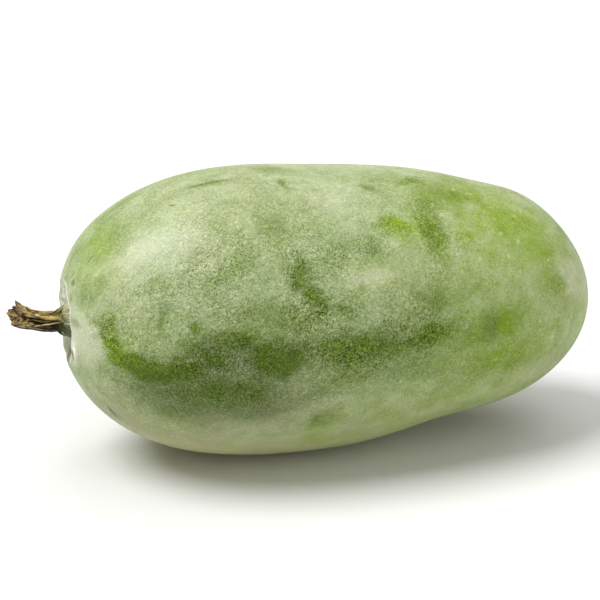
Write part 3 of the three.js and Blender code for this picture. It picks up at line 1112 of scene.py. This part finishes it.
stemPaint = {
    "dark": paint("#1e1405"),
    "brown": paint("#573f18"),
    "golden": paint("#846f34"),
    # pale rib crests, partly a painted highlight
    "bright": paint("#c8b474"),
    "torn": paint("#987c4a"),
    "ivory": paint("#dccfae"),
    "green": paint("#59682a"),
}
stemLook = {
    "shades": {"dark": 0.12, "brown": 0.38, "golden": 0.62, "bright": 0.95},  # from furrow to rib; the dark end is partly painted shade, the bright end partly a painted highlight
    "fibreCells": 900,  # noise cells in each metre
    "patchCells": 170,
    "greenFoot": (-0.006, 0.0),  # metres along X, from the neck's top
    "roughness": 0.46,
    "shine": 0.12,  # how much smoother the pale ribs are
    "specular": 0.13,
    "bump": 0.5,
    "bumpDepth": 0.0005,
}


def stemMaterial():
    material = newMaterial("dryStem")
    look, colors = stemLook, stemPaint
    place = Wire.put("ShaderNodeTexCoord", out="Object")
    ridge, torn, pale = marked("ridge"), marked("torn"), marked("pale")
    drawnOut = noiseAt(place.vector("MULTIPLY", (0.12, 1, 1)), look["fibreCells"], 3, 0.7)
    patch = noiseAt(place, look["patchCells"], 3, 0.6)
    along, _, spoke, _ = fromAxis(place, neckTopX)
    atFoot = along.smooth(*look["greenFoot"], 0.0, 0.6)

    # painted shade and light: the stem is made darker underneath and in its furrows, and lighter on top
    # and on its ribs
    lift = splitXyz(spoke)[2].smooth(-0.7, 0.5, -0.95, 0.1)
    tone = (ridge * 0.85 + lift + (drawnOut - 0.5) * 2.4 + (patch - 0.5) * 1.2).clamp()
    stops = [(at, colors[name]) for name, at in look["shades"].items()]
    wood = Wire.put("ShaderNodeValToRGB", {"stops": stops}, {"Fac": tone})
    tornWood = blend(tone.smooth(0.2, 0.9), colors["dark"], colors["torn"])
    wood = blend(torn * patch.smooth(0.3, 0.55, 0.2, 0.9), wood, tornWood)
    wood = blend(atFoot * patch.smooth(0.35, 0.6, 0.5, 1.0), wood, colors["green"])
    wood = blend(pale * drawnOut.smooth(0.3, 0.6, 0.6, 1.0), wood, colors["ivory"])
    sockets = {
        "Base Color": wood,
        "Roughness": look["roughness"] - tone * look["shine"],
        "Specular IOR Level": look["specular"],
        "Normal": bumpFrom(drawnOut, look),
    }
    endMaterial(sockets)
    return material


def buildStem():
    values = {**stem, **stemSteps, "Material": stemMaterial()}
    piece = growFromTree("gourdStem", drawStemTree(), values)
    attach(piece, "root")
    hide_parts("gourd_stem")
    return piece


stub = buildStem()
print("stem:", len(stub.data.polygons), "faces")


# Floor, light and air

light = {  # soft studio panels, as suns with a wide disc so that the floor stays evenly lit
    "key": {"toward": (-0.5, 0.05, 0.86), "strength": 3.2, "width": 36},
    "top": {"toward": (0.25, 0.35, 0.9), "strength": 1.2, "width": 60},
    "fill": {"toward": (0.38, -0.68, 0.62), "strength": 1.0, "width": 90},
}
air = {"overhead": 0.12, "sides": 0.8, "upTo": 20}  # brightness, and degrees over the horizon
floorLook = {"size": 300, "roughness": 0.9, "color": paint("#dfdfdd")}


def addLight(name, spec):
    data = bpy.data.lights.new(name, "SUN")
    data.energy = spec["strength"]
    data.angle = math.radians(spec["width"])
    lamp = addObject(name, data)
    toward = Vector(spec["toward"]).normalized()
    lamp.location = view["aim"] + toward
    lamp.rotation_euler = toward.to_track_quat("Z", "Y").to_euler()


def addFloor():
    material = newMaterial("paleFloor")
    endMaterial({"Base Color": floorLook["color"], "Roughness": floorLook["roughness"]})
    half = floorLook["size"] / 2
    corners = [(-half, -half, 0), (half, -half, 0), (half, half, 0), (-half, half, 0)]
    mesh = bpy.data.meshes.new("floor")
    mesh.from_pydata(corners, [], [(0, 1, 2, 3)])
    mesh.materials.append(material)
    floor = addObject("floor", mesh)


def setAir():  # white walls low down all round, dimmer air over them
    world = bpy.data.worlds.new("air")
    world.use_nodes = True
    Wire.tree = world.node_tree
    above = splitXyz(Wire.put("ShaderNodeTexCoord", out="Generated"))[2]
    horizonBand = math.sin(math.radians(air["upTo"]))
    brightness = above.smooth(0.0, horizonBand, air["sides"], air["overhead"])
    background = world.node_tree.nodes["Background"]
    world.node_tree.links.new(brightness.socket, background.inputs["Strength"])
    background.inputs["Color"].default_value = (1, 1, 1, 1)
    bpy.context.scene.world = world
    bpy.context.scene.view_settings.view_transform = "Standard"


for name, spec in light.items():
    addLight(name, spec)
addFloor()
setAir()
print("floor and light set")
